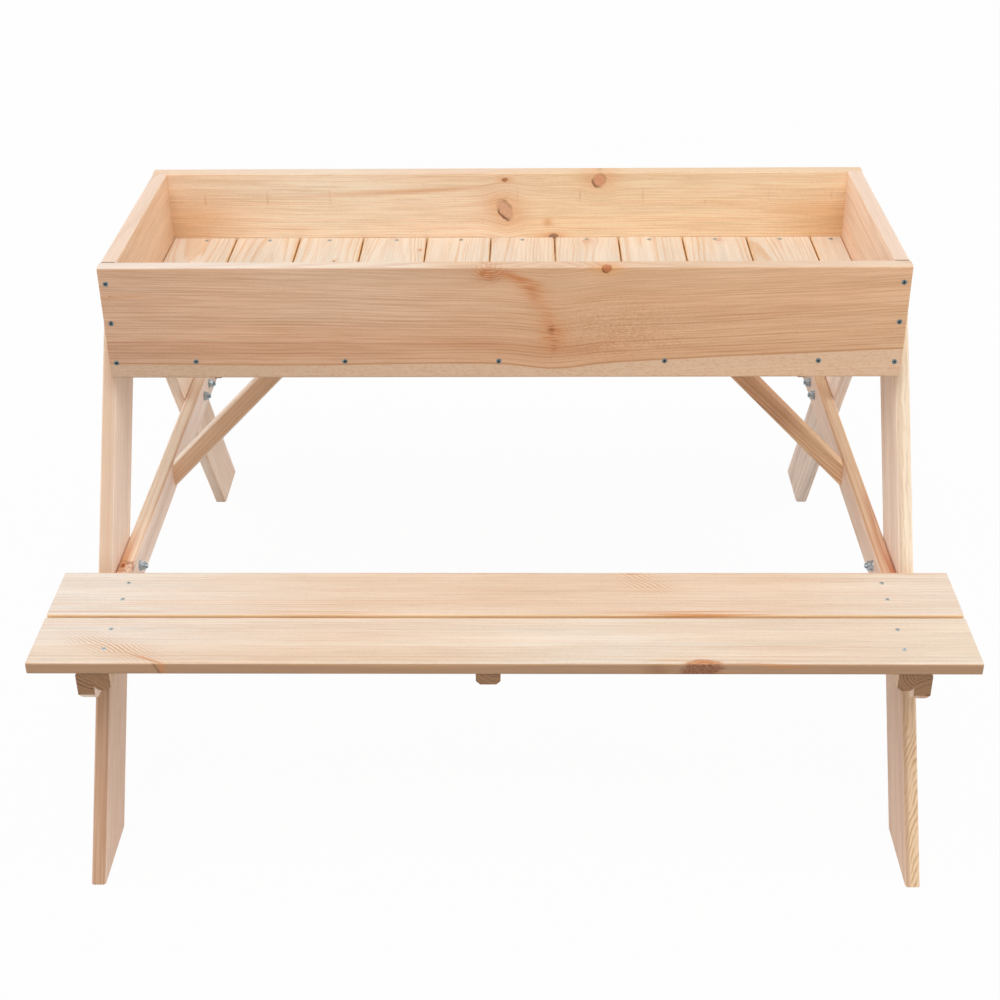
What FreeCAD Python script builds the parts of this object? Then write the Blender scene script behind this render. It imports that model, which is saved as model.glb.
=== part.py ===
import FreeCAD, Part
import math
import os

# A child's picnic table whose top is an open sand tray, with a fixed bench along each side.
# Millimetres. X runs along the table, -Y is the side of the front bench, +Z is up.
# The origin is on the ground, under the middle of the tray.

# Sand tray: front and back boards cover the ends of the two side boards.
TRAY_LENGTH = 900.0
TRAY_DEPTH = 334.0
TRAY_RIM_HEIGHT = 617.0
TRAY_BOARD_HEIGHT = 135.0
TRAY_BOARD_THICKNESS = 18.0
TRAY_ARRIS = 2.5

# Tray floor: boards run front to back across three lengthwise battens.
FLOOR_BOARD_WIDTH = 80.5
FLOOR_BOARD_THICKNESS = 14.0
FLOOR_BOARD_GAP = 1.9
FLOOR_END_CLEARANCE = 0.4
FLOOR_ARRIS = 1.5
CLOSING_BOARD_LEAST = 20.0
BATTEN_HEIGHT = 34.0
BATTEN_THICKNESS = 18.0

# A-frames: two legs stand against the outside of each side board and meet at the top.
# Each leans from its foot so that it passes the inner edge of the bench with a clearance.
LEG_WIDTH = 83.5
LEG_THICKNESS = 16.5
LEG_BENCH_CLEARANCE = 5.5
FOOT_SPREAD = 960.0
LEG_TOP_DROP = 37.0
LEG_TOP_GAP = 2.0
FRAME_ARRIS = 3.5

# Crossbars: bolted to the inside of the legs, they carry both benches.
CROSSBAR_HEIGHT = 41.0
CROSSBAR_THICKNESS = 18.0
CROSSBAR_SETBACK = 2.0
CROSSBAR_BEVEL = 13.0

# Braces: from the middle of each crossbar up to the middle floor batten.
BRACE_WIDTH = 23.0
BRACE_THICKNESS = 18.0
BRACE_RISE = 46.0
BRACE_DROP = 1.0
BRACE_ARRIS = 2.0

# Benches: two seat boards each, held together by two end cleats and a middle cleat.
SEAT_HEIGHT = 296.0
BENCH_LENGTH = 1000.0
BENCH_SPREAD = 930.0
SEAT_BOARD_WIDTH = 86.0
SEAT_BOARD_THICKNESS = 14.0
SEAT_BOARD_GAP = 5.0
SEAT_ARRIS = 2.5
CLEAT_SETBACK = 2.0
END_CLEAT_THICKNESS = 18.0
END_CLEAT_HEIGHT = 22.0
MIDDLE_CLEAT_WIDTH = 26.0
MIDDLE_CLEAT_HEIGHT = 14.0
MIDDLE_CLEAT_OFFSET = 15.0
CLEAT_BEVEL = 4.5

# Carriage bolts: two through each crossing of a leg and a crossbar.
BOLT_DIAMETER = 6.0
BOLT_SPACING = 40.0
BOLT_RISE = 2.5
BOLT_HEAD_DIAMETER = 16.0
BOLT_HEAD_HEIGHT = 3.8
BOLT_NECK_WIDTH = 6.4
BOLT_NECK_LENGTH = 4.0
BOLT_END_LENGTH = 3.0
BOLT_CLEARANCE = 0.25
WASHER_DIAMETER = 13.0
WASHER_THICKNESS = 1.5
NUT_ACROSS_FLATS = 10.0
NUT_THICKNESS = 5.0
NUT_SIDES = 6

LEFT, RIGHT = -1, 1
FRONT, BACK = -1, 1
SIDE_NAMES = {LEFT: "left", RIGHT: "right"}
ROW_NAMES = {FRONT: "front", BACK: "back"}

V = FreeCAD.Vector
X, Y, Z = V(1, 0, 0), V(0, 1, 0), V(0, 0, 1)
ORIGIN = V(0, 0, 0)

# Heights and planes that several pieces share.
tray_bottom = TRAY_RIM_HEIGHT - TRAY_BOARD_HEIGHT
tray_inner_length = TRAY_LENGTH - 2 * TRAY_BOARD_THICKNESS
tray_inner_depth = TRAY_DEPTH - 2 * TRAY_BOARD_THICKNESS
leg_inner_x = TRAY_LENGTH / 2
leg_outer_x = leg_inner_x + LEG_THICKNESS
crossbar_inner_x = leg_inner_x - CROSSBAR_THICKNESS
seat_underside = SEAT_HEIGHT - SEAT_BOARD_THICKNESS
crossbar_middle = seat_underside - CROSSBAR_HEIGHT / 2
bolt_height = crossbar_middle + BOLT_RISE
bench_depth = 2 * SEAT_BOARD_WIDTH + SEAT_BOARD_GAP
bench_middle_y = BENCH_SPREAD / 2 - bench_depth / 2
leg_edge_at_bench = BENCH_SPREAD / 2 - bench_depth - LEG_BENCH_CLEARANCE
leg_lean = math.atan2(FOOT_SPREAD / 2 - leg_edge_at_bench, seat_underside)


def box_between(low, high):
    """A plain box from its low corner to its high corner."""
    return Part.makeBox(high.x - low.x, high.y - low.y, high.z - low.z, low)


def square_bar(size):
    """A bar of the given X, Y and Z size, centred on the origin, with sharp edges."""
    return box_between(size / -2, size / 2)


def long_edges(bar, grain):
    """The edges of a square bar that run along the grain."""
    return [edge for edge in bar.Edges
            if edge.Curve.Direction.cross(grain).Length < Part.Precision.confusion()]


def planed_bar(size, grain, arris):
    """A bar centred on the origin, its four long edges rounded by the planer and its ends sawn square."""
    bar = square_bar(size)
    return bar.makeFillet(arris, long_edges(bar, grain))


def bevelled_bar(size, grain, arris):
    """A bar centred on the origin, its four long edges cut off flat and its ends sawn square."""
    bar = square_bar(size)
    return bar.makeChamfer(arris, long_edges(bar, grain))


def leg_axis_y(row, height):
    """Where the centre line of a front or back leg passes at a height."""
    foot_length = LEG_WIDTH / math.cos(leg_lean)
    return row * (FOOT_SPREAD / 2 - foot_length / 2 - height * math.tan(leg_lean))


def bolt_centres():
    """Side and Y of each bolt, in pairs about the middle of each crossing."""
    for side in (LEFT, RIGHT):
        for row in (FRONT, BACK):
            for step in (-0.5, 0.5):
                yield side, leg_axis_y(row, bolt_height) + step * BOLT_SPACING


def tray_walls():
    """The four boards round the sand."""
    wall_middle = tray_bottom + TRAY_BOARD_HEIGHT / 2
    long_size = V(TRAY_LENGTH, TRAY_BOARD_THICKNESS, TRAY_BOARD_HEIGHT)
    short_size = V(TRAY_BOARD_THICKNESS, tray_inner_depth, TRAY_BOARD_HEIGHT)
    walls = {}
    for row in (FRONT, BACK):
        middle = V(0, row * (TRAY_DEPTH - TRAY_BOARD_THICKNESS) / 2, wall_middle)
        walls["tray_%s_board" % ROW_NAMES[row]] = planed_bar(long_size, X, TRAY_ARRIS).translated(middle)
    for side in (LEFT, RIGHT):
        middle = V(side * (TRAY_LENGTH - TRAY_BOARD_THICKNESS) / 2, 0, wall_middle)
        walls["tray_%s_board" % SIDE_NAMES[side]] = planed_bar(short_size, Y, TRAY_ARRIS).translated(middle)
    return walls


def floor_battens():
    """Battens along the front board, the back board and the middle, under the floor boards."""
    size = V(tray_inner_length, BATTEN_THICKNESS, BATTEN_HEIGHT)
    against_wall = (tray_inner_depth - BATTEN_THICKNESS) / 2
    places = {"front": FRONT * against_wall, "middle": 0.0, "back": BACK * against_wall}
    height = tray_bottom + BATTEN_HEIGHT / 2
    batten = bevelled_bar(size, X, FLOOR_ARRIS)
    return {"floor_%s_batten" % name: batten.translated(V(0, y, height)) for name, y in places.items()}


def floor_boards():
    """Full boards from the left, then one ripped narrower to close the floor at the right."""
    pitch = FLOOR_BOARD_WIDTH + FLOOR_BOARD_GAP
    room = tray_inner_length - 2 * FLOOR_END_CLEARANCE
    full_count = int((room - CLOSING_BOARD_LEAST) // pitch)
    widths = [FLOOR_BOARD_WIDTH] * full_count + [room - full_count * pitch]
    length = tray_inner_depth - 2 * FLOOR_END_CLEARANCE
    height = tray_bottom + BATTEN_HEIGHT + FLOOR_BOARD_THICKNESS / 2
    boards = {}
    for index, width in enumerate(widths):
        x = -room / 2 + index * pitch + width / 2
        slat = bevelled_bar(V(width, length, FLOOR_BOARD_THICKNESS), Y, FLOOR_ARRIS)
        boards["floor_board_%02d" % (index + 1)] = slat.translated(V(x, 0, height))
    return boards


def leg(side, row):
    """A leaning leg with a level foot, a level top and a plumb cut where the pair meets."""
    top = TRAY_RIM_HEIGHT - LEG_TOP_DROP
    rough_length = top / math.cos(leg_lean) + 2 * LEG_WIDTH
    stick = planed_bar(V(LEG_THICKNESS, LEG_WIDTH, rough_length), Z, FRAME_ARRIS)
    stick.rotate(ORIGIN, X, row * math.degrees(leg_lean))
    middle_x = side * (leg_inner_x + leg_outer_x) / 2
    stick.translate(V(middle_x, leg_axis_y(row, top / 2), top / 2))
    near, far = row * LEG_TOP_GAP / 2, row * FOOT_SPREAD
    room = box_between(V(middle_x - LEG_THICKNESS, min(near, far), 0),
                       V(middle_x + LEG_THICKNESS, max(near, far), top))
    return stick.common(room).cut(bolt_holes(side, row))


def bolt_holes(side, row):
    """Round holes through a crossing, each with a square mouth for the neck of its bolt."""
    hole = BOLT_DIAMETER + 2 * BOLT_CLEARANCE
    half_mouth = BOLT_NECK_WIDTH / 2 + BOLT_CLEARANCE
    depth = LEG_THICKNESS + CROSSBAR_THICKNESS
    holes = []
    for bolt_side, y in bolt_centres():
        if bolt_side == side and y * row > 0:
            mouth = V(side * leg_outer_x, y, bolt_height)
            inward = X * -side
            holes.append(Part.makeCylinder(hole / 2, depth, mouth, inward))
            reach = V(BOLT_NECK_LENGTH + BOLT_CLEARANCE, half_mouth, half_mouth)
            holes.append(box_between(mouth - reach, mouth + reach))
    return Part.makeCompound(holes)


def crossbar(side):
    """A level bar across both legs, its lower corners bevelled under the bench edges."""
    length = BENCH_SPREAD - 2 * CROSSBAR_SETBACK
    size = V(CROSSBAR_THICKNESS, length, CROSSBAR_HEIGHT)
    middle = V(side * (crossbar_inner_x + leg_inner_x) / 2, 0, crossbar_middle)
    bar = planed_bar(size, Y, FRAME_ARRIS).translated(middle)
    low_edge = crossbar_middle - CROSSBAR_HEIGHT / 2
    for row in (FRONT, BACK):
        corner = V(side * crossbar_inner_x, row * length / 2, low_edge)
        up, along = Z * CROSSBAR_BEVEL, Y * (-row * CROSSBAR_BEVEL)
        wedge = Part.Face(Part.makePolygon([corner, corner + up, corner + along, corner]))
        bar = bar.cut(wedge.extrude(X * (side * CROSSBAR_THICKNESS)))
        bar = bar.cut(bolt_holes(side, row))
    return bar


def brace(side):
    """A sloping brace, cut plumb against the crossbar and level under the middle batten."""
    rise = math.radians(BRACE_RISE)
    foot_top = seat_underside - BRACE_DROP
    foot_middle = foot_top - BRACE_WIDTH / (2 * math.cos(rise))
    run = (tray_bottom - foot_middle) / math.tan(rise)
    rough_length = (tray_bottom - foot_middle) / math.sin(rise) + 4 * BRACE_WIDTH
    stick = bevelled_bar(V(rough_length, BRACE_THICKNESS, BRACE_WIDTH), X, BRACE_ARRIS)
    stick.rotate(ORIGIN, Y, side * BRACE_RISE)
    stick.translate(V(side * (crossbar_inner_x - run / 2), 0, (foot_middle + tray_bottom) / 2))
    near, far = 0.0, side * crossbar_inner_x
    room = box_between(V(min(near, far), -BRACE_THICKNESS, 0),
                       V(max(near, far), BRACE_THICKNESS, tray_bottom))
    return stick.common(room)


def cleat(size, middle):
    """A cleat along Y, square where it meets the seat, its two lower edges cut off flat."""
    bar = square_bar(size)
    lower_edges = [edge for edge in long_edges(bar, Y) if edge.CenterOfMass.z < 0]
    return bar.makeChamfer(CLEAT_BEVEL, lower_edges).translated(middle)


def bench(row):
    """Two seat boards on an end cleat beside each crossbar and a flat cleat near the middle."""
    name = ROW_NAMES[row] + "_bench_"
    pieces = {}
    seat_size = V(BENCH_LENGTH, SEAT_BOARD_WIDTH, SEAT_BOARD_THICKNESS)
    from_middle = (SEAT_BOARD_WIDTH + SEAT_BOARD_GAP) / 2
    for label, step in (("inner_board", -from_middle), ("outer_board", from_middle)):
        middle = V(0, row * (bench_middle_y + step), SEAT_HEIGHT - SEAT_BOARD_THICKNESS / 2)
        pieces[name + label] = planed_bar(seat_size, X, SEAT_ARRIS).translated(middle)
    cleat_length = bench_depth - 2 * CLEAT_SETBACK
    end_size = V(END_CLEAT_THICKNESS, cleat_length, END_CLEAT_HEIGHT)
    for side in (LEFT, RIGHT):
        middle = V(side * (crossbar_inner_x - END_CLEAT_THICKNESS / 2), row * bench_middle_y,
                   seat_underside - END_CLEAT_HEIGHT / 2)
        pieces[name + SIDE_NAMES[side] + "_cleat"] = cleat(end_size, middle)
    flat_size = V(MIDDLE_CLEAT_WIDTH, cleat_length, MIDDLE_CLEAT_HEIGHT)
    middle = V(row * MIDDLE_CLEAT_OFFSET, row * bench_middle_y, seat_underside - MIDDLE_CLEAT_HEIGHT / 2)
    pieces[name + "middle_cleat"] = cleat(flat_size, middle)
    return pieces


def carriage_bolt():
    """A bolt along X: the underside of its domed head at X = 0, its shank towards -X."""
    radius = BOLT_DIAMETER / 2
    length = LEG_THICKNESS + CROSSBAR_THICKNESS + WASHER_THICKNESS + NUT_THICKNESS + BOLT_END_LENGTH
    head_radius = BOLT_HEAD_DIAMETER / 2
    dome_radius = (head_radius ** 2 + BOLT_HEAD_HEIGHT ** 2) / (2 * BOLT_HEAD_HEIGHT)
    half_turn = math.asin(head_radius / dome_radius) / 2
    dome_bend = V(BOLT_HEAD_HEIGHT - dome_radius * (1 - math.cos(half_turn)),
                  dome_radius * math.sin(half_turn), 0)
    edges = [Part.LineSegment(V(-length, 0, 0), V(-length, radius, 0)).toShape(),
             Part.LineSegment(V(-length, radius, 0), V(0, radius, 0)).toShape(),
             Part.LineSegment(V(0, radius, 0), V(0, head_radius, 0)).toShape(),
             Part.Arc(V(0, head_radius, 0), dome_bend, V(BOLT_HEAD_HEIGHT, 0, 0)).toShape(),
             Part.LineSegment(V(BOLT_HEAD_HEIGHT, 0, 0), V(-length, 0, 0)).toShape()]
    turned = Part.Face(Part.Wire(edges)).revolve(ORIGIN, X, 360)
    half_neck = BOLT_NECK_WIDTH / 2
    neck = box_between(V(-BOLT_NECK_LENGTH, -half_neck, -half_neck), V(0, half_neck, half_neck))
    return turned.fuse(neck).removeSplitter()


def washer():
    """A flat ring along X, from X = 0 towards -X."""
    ring = Part.makeCylinder(WASHER_DIAMETER / 2, WASHER_THICKNESS, ORIGIN, -X)
    return ring.cut(Part.makeCylinder(BOLT_DIAMETER / 2 + BOLT_CLEARANCE, WASHER_THICKNESS, ORIGIN, -X))


def nut():
    """A hexagon nut along X, from X = 0 towards -X."""
    step = 2 * math.pi / NUT_SIDES
    corner_radius = NUT_ACROSS_FLATS / 2 / math.cos(step / 2)
    corners = [V(0, corner_radius * math.cos(turn * step), corner_radius * math.sin(turn * step))
               for turn in range(NUT_SIDES)]
    outline = Part.makePolygon(corners + corners[:1])
    bore = Part.makeCylinder(BOLT_DIAMETER / 2 + BOLT_CLEARANCE, NUT_THICKNESS, ORIGIN, -X)
    return Part.Face(outline).extrude(X * -NUT_THICKNESS).cut(bore)


def fastener_group(piece, plane_x):
    """A copy of a fastener at every bolt, its X = 0 plane at plane_x, facing out on both sides."""
    copies = []
    for side, y in bolt_centres():
        copy = piece.copy()
        if side == LEFT:
            copy.rotate(ORIGIN, Z, 180)
        copies.append(copy.translated(V(side * plane_x, y, bolt_height)))
    return Part.makeCompound(copies)


def all_pieces():
    """Every node of the table by name."""
    pieces = {}
    pieces.update(tray_walls())
    pieces.update(floor_battens())
    pieces.update(floor_boards())
    for side in (LEFT, RIGHT):
        for row in (FRONT, BACK):
            pieces["%s_%s_leg" % (SIDE_NAMES[side], ROW_NAMES[row])] = leg(side, row)
        pieces["%s_crossbar" % SIDE_NAMES[side]] = crossbar(side)
        pieces["%s_brace" % SIDE_NAMES[side]] = brace(side)
    for row in (FRONT, BACK):
        pieces.update(bench(row))
    pieces["carriage_bolts"] = fastener_group(carriage_bolt(), leg_outer_x)
    pieces["bolt_washers"] = fastener_group(washer(), crossbar_inner_x)
    pieces["bolt_nuts"] = fastener_group(nut(), crossbar_inner_x - WASHER_THICKNESS)
    return pieces


os.makedirs("parts", exist_ok=True)
for node, shape in all_pieces().items():
    shape.exportStep("parts/%s.step" % node)
    print(node, len(shape.Solids), shape.isValid(), round(shape.Volume))
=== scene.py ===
import math
import random
from collections import namedtuple

import bpy
from mathutils import Matrix, Vector


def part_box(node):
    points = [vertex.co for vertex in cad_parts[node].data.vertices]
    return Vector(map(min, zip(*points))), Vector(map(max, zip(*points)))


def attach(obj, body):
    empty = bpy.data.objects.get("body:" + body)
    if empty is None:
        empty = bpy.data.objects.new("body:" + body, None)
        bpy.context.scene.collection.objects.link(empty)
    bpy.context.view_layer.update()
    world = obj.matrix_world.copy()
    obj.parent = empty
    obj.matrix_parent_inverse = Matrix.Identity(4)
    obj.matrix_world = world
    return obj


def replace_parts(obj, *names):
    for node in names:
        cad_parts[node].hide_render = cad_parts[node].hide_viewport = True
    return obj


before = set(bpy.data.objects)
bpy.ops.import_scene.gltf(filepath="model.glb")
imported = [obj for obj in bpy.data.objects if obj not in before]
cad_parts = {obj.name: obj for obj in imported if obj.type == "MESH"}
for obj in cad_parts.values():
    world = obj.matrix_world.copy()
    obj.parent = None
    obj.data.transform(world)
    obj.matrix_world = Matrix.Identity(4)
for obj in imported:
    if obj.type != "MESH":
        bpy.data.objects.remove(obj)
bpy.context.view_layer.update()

MM = 0.001
LEFT, RIGHT = -1, 1
FRONT, BACK = -1, 1
SIDES = {LEFT: "left", RIGHT: "right"}
ROWS = {FRONT: "front", BACK: "back"}
X, Y, Z = Vector((1, 0, 0)), Vector((0, 1, 0)), Vector((0, 0, 1))
WHITE = (1.0, 1.0, 1.0, 1.0)
LEG_LEAN = math.radians(35.0)
BRACE_RISE = math.radians(46.0)
STEEL_NODES = ("carriage_bolts", "bolt_washers", "bolt_nuts")

# A knot's place from the middle of its board along and across the grain, its half length and half width,
# how strongly it is coloured, the colour of its heart, its place and half size in the board's thickness,
# and how far its upper part leans back along the board for each millimetre across. Millimetres.
Knot = namedtuple("Knot", "along across length width strength heart depth reach lean",
                  defaults=("e9b99a", 0.0, 1000.0, 0.0))

# A point of a board for painting its figure: its place in millimetres, the across place that the grain's
# swerves have moved, the three of the swerved grain joined, and 1 on the narrow long faces.
Grain = namedtuple("Grain", "along across depth turned field narrow")


# Shader values

class Flow:
    """A value in a material's nodes. Arithmetic on it adds Math nodes."""

    def __init__(self, tree, socket=None):
        self.tree = tree
        self.socket = socket

    def node(self, kind, settings, inputs, output=0):
        """Adds a node with its settings, then its values or links, and gives one of its outputs."""
        made = self.tree.nodes.new(kind)
        for name, value in settings.items():
            setattr(made, name, value)
        for key, value in inputs.items():
            if isinstance(value, Flow):
                self.tree.links.new(value.socket, made.inputs[key])
            else:
                made.inputs[key].default_value = value
        return Flow(self.tree, made.outputs[output]) if made.outputs else made

    def beside(self, output):
        """Another output of the same node."""
        return Flow(self.tree, self.socket.node.outputs[output])

    def math(self, operation, *values):
        """The result of a Math node."""
        return self.node("ShaderNodeMath", {"operation": operation}, dict(enumerate(values)))

    def __add__(self, other):
        return self.math("ADD", self, other)

    def __sub__(self, other):
        return self.math("SUBTRACT", self, other)

    def __rsub__(self, other):
        return self.math("SUBTRACT", other, self)

    def __mul__(self, other):
        return self.math("MULTIPLY", self, other)

    def __truediv__(self, other):
        return self.math("DIVIDE", self, other)

    __radd__ = __add__
    __rmul__ = __mul__


def smooth(value, low, high):
    """0 below low, 1 above high and an easy rise between."""
    return value.node("ShaderNodeMapRange", {"interpolation_type": "SMOOTHSTEP"},
                      {"Value": value, "From Min": low, "From Max": high})


def square(value):
    """The value times itself."""
    return value * value


def above_nothing(value):
    """The value where it is above 0, and 0 elsewhere."""
    return value.math("MAXIMUM", value, 0.0)


def length_of(*parts):
    """The length of a vector from its parts."""
    total = sum((square(part) for part in parts[1:]), square(parts[0]))
    return total.math("SQRT", total)


def bell(distance):
    """1 where the distance is nothing, falling away to 0 on both sides."""
    return distance.math("EXPONENT", square(distance) * -1.0)


def to_and_fro(value, reach):
    """A value that climbs to reach and falls to 0 again, over and over."""
    return value.math("PINGPONG", value, reach)


def blend(factor, first, second, mode="MIX"):
    """One colour going over into another."""
    return factor.node("ShaderNodeMix", {"data_type": "RGBA", "blend_type": mode},
                       {0: factor, 6: first, 7: second}, 2)


def shaded(colour, amount):
    """A colour made lighter or darker."""
    return colour.node("ShaderNodeVectorMath", {"operation": "SCALE"}, {0: colour, "Scale": amount})


def tinted(colour, where, red, green, blue):
    """A colour whose parts are raised or lowered in some places."""
    return blend(where, colour, (red, green, blue, 1.0), "MULTIPLY")


def reach_along(vector, axis):
    """How far a vector reaches along an axis."""
    return vector.node("ShaderNodeVectorMath", {"operation": "DOT_PRODUCT"}, {0: vector, 1: tuple(axis)}, 1)


def facing(normal, axis):
    """How squarely a surface faces along an axis, either way."""
    turn = reach_along(normal, axis)
    return turn.math("ABSOLUTE", turn)


def cloud(field, scale, seed, detail=2.0):
    """Noise about 0.5, drawn out by the scale along each axis of the field."""
    moved = field.node("ShaderNodeMapping", {},
                       {"Vector": field, "Location": (seed, 1.7 * seed, 0.6 * seed), "Scale": scale})
    return field.node("ShaderNodeTexNoise", {}, {"Vector": moved, "Scale": 1.0, "Detail": detail})


def uneven_run(value, seed, detail=2.0):
    """Noise about 0.5 along a single value."""
    return value.node("ShaderNodeTexNoise", {"noise_dimensions": "1D"},
                      {"W": value + seed, "Scale": 1.0, "Detail": detail})


def rgb(code):
    """A linear colour from its usual hexadecimal code."""
    parts = [int(code[i:i + 2], 16) / 255 for i in (0, 2, 4)]
    return tuple(p / 12.92 if p <= 0.04045 else ((p + 0.055) / 1.055) ** 2.4 for p in parts) + (1.0,)


def seen_rays(start):
    """1 on rays that the camera, a gloss or a clear piece sends, and 0 on rays that only carry light."""
    camera = start.node("ShaderNodeLightPath", {}, {}, "Is Camera Ray")
    seen = camera + camera.beside("Is Glossy Ray") + camera.beside("Is Transmission Ray")
    return seen.math("MINIMUM", seen, 1.0)


def new_material(name):
    """An empty node material, and the place of its points in the object's space."""
    material = bpy.data.materials.new(name)
    material.use_nodes = True
    material.node_tree.nodes.clear()
    return material, Flow(material.node_tree).node("ShaderNodeTexCoord", {}, {}, "Object")


def finish_material(colour, roughness, height, depth, metallic, specular):
    """Joins colour, roughness and a bump of some depth in metres to the material's output."""
    normal = height.node("ShaderNodeBump", {}, {"Height": height, "Strength": 0.6, "Distance": depth})
    surface = colour.node("ShaderNodeBsdfPrincipled", {}, {
        "Base Color": colour, "Roughness": roughness, "Normal": normal,
        "Metallic": metallic, "Specular IOR Level": specular})
    surface.node("ShaderNodeOutputMaterial", {}, {"Surface": surface})


# Wood

# How many times the parts of the figure change in a millimetre along, across and through a board.
SLOW_SWAY = (0.0035, 0.010, 0.010)
RING_SWAY = (0.006, 0.012, 0.012)
RING_WAVER = (0.012, 0.12, 0.12)
LINE_BREAKS = (0.010, 0.25, 0.25)
FIBRES = (0.018, 0.55, 0.55)
TONES = (0.0028, 0.055, 0.055)
WARM_STREAKS = (0.004, 0.035, 0.035)
FLECKS = (0.28, 0.62, 0.62)
SAW_MARKS = (0.6, 0.6, 0.6)
KNOT_RAGGEDNESS = (0.10, 0.14, 0.14)

SAWN_EARLY, SAWN_LATE = "a27c5d", "684632"
KNOT_HALO, KNOT_CRACK = "e39b52", "74402a"
WOOD_BUMP = 0.25 * MM


def board_axes(node):
    """Middle of a board in metres, and the directions of its grain, its width and its thickness."""
    low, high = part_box(node)
    middle, size = (low + high) / 2, high - low
    row = FRONT if "front" in node else BACK
    side = LEFT if "left" in node else RIGHT
    if node.endswith("_leg"):
        grain = Vector((0, -row * math.sin(LEG_LEAN), math.cos(LEG_LEAN)))
        return middle, grain, grain.cross(X), X
    if node.endswith("_brace"):
        grain = Vector((-side * math.cos(BRACE_RISE), 0, math.sin(BRACE_RISE)))
        return middle, grain, grain.cross(Y), Y
    order = sorted(range(3), key=lambda i: -size[i])
    return (middle,) + tuple((X, Y, Z)[i] for i in order)


def along_axis(place, axis, middle):
    """Millimetres from the middle of a board along one of its directions."""
    return reach_along(place, axis / MM) - axis.dot(middle) / MM


def softwood(node, early, late, pith, ring, contrast=0.6, fibres=1.0, slope=(0.0, 0.0), wander=5.0,
             edge=None, knots=(), bend=None, figure=None, seed=0.0):
    """Planed softwood for one board, with yearly rings about a pith line beside the board.

    early and late are the colours of the ring's two parts, pith is the line's place in millimetres
    across the width and the thickness, ring is the ring width, contrast and fibres are how plainly the
    rings and the fibres show, slope is how the line leans, wander is how far the grain sways and edge is
    the colour that the narrow long faces turn to. bend moves the grain across the board, figure paints
    what this board alone has, and seed makes its noise differ from other boards'."""
    material, place = new_material(node + "_wood")
    normal = place.beside("Normal")
    middle, grain, width, thickness = board_axes(node)
    along, across, depth = (along_axis(place, axis, middle) for axis in (grain, width, thickness))
    raw = place.node("ShaderNodeCombineXYZ", {}, {0: along, 1: across, 2: depth})

    # Where the grain swerves: slow sway, a bend of the whole board and the way round each knot.
    turned = across + (cloud(raw, SLOW_SWAY, seed, 1.0) - 0.5) * wander
    if bend:
        turned = turned - bend(along, across)
    for knot in knots:
        lens = bell((along - knot.along) / (2.2 * knot.length))
        lens = lens * bell((across - knot.across) / (2.2 * knot.width))
        turned = turned - (across - knot.across) * lens * 0.6
    field = place.node("ShaderNodeCombineXYZ", {}, {0: along, 1: turned, 2: depth})

    # Yearly rings: slow pale growth that ends in a narrow dark line, no two alike.
    beside = turned - pith[0] - along * slope[0]
    sway = (cloud(raw, RING_SWAY, seed + 11.0, 1.0) - 0.5) * wander
    reach = length_of(beside, depth - pith[1] - along * slope[1] + sway)
    year = reach / ring + uneven_run(reach * (0.23 / ring), seed, 1.0) * 2.6
    year = year + (cloud(field, RING_WAVER, seed + 3.0) - 0.5) * 0.5
    count = year.math("FLOOR", year)
    part = year - count
    single = count.node("ShaderNodeTexWhiteNoise", {"noise_dimensions": "1D"}, {"W": count + seed})
    group = uneven_run(count * 0.27, seed)
    strong = single * 0.45 + smooth(group, 0.36, 0.66) * 0.45 + 0.10
    strong = strong * (0.3 + cloud(field, LINE_BREAKS, seed + 23.0, 3.0) * 1.4)
    line = smooth(part, 0.38, 0.90) * (1.0 - smooth(part, 0.92, 1.0)) * strong

    # Fibres, slow changes of tone and warmth, and short flecks.
    fibre = cloud(field, FIBRES, seed + 5.0, 3.0)
    tone = cloud(field, TONES, seed + 7.0, 2.0)
    warmth = smooth(cloud(field, WARM_STREAKS, seed + 29.0, 2.0), 0.40, 0.75)
    fleck = smooth(cloud(field, FLECKS, seed + 13.0, 2.0), 0.48, 0.72)
    colour = blend(line * contrast + warmth * 0.14, rgb(early), rgb(late))
    colour = tinted(colour, (1.0 - smooth(fibre, 0.30, 0.68)) * fibres, 0.89, 0.84, 0.78)
    colour = shaded(colour, 1.0 + 0.07 * fibres + (tone - 0.5) * 0.26 - fleck * 0.06)
    narrow = smooth(facing(normal, width), 0.45, 0.85)
    if edge:
        side_grain = shaded(blend(line * 0.3, rgb(edge), rgb(late)), 0.92 + fibre * 0.16)
        colour = blend(narrow * 0.92, colour, side_grain)
    if figure:
        colour = figure(colour, Grain(along, across, depth, turned, field, narrow))
    for knot in knots:
        colour = paint_knot(colour, knot, along, across, depth, raw, seed)

    # Sawn ends show the rings darker.
    ends = smooth(facing(normal, grain), 0.72, 0.90)
    rough_cut = cloud(raw, SAW_MARKS, seed + 19.0, 3.0)
    sawn = blend(line * 0.9, rgb(SAWN_EARLY), rgb(SAWN_LATE))
    colour = blend(ends, colour, shaded(sawn, 0.72 + rough_cut * 0.50))

    roughness = 0.62 + (fibre - 0.5) * 0.18 - line * 0.08 + ends * 0.2
    height = fibre * 0.5 - fleck * 0.35 + line * 0.3 + ends * rough_cut
    finish_material(colour, roughness, height, WOOD_BUMP, metallic=0.0, specular=0.25)
    return material


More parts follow.
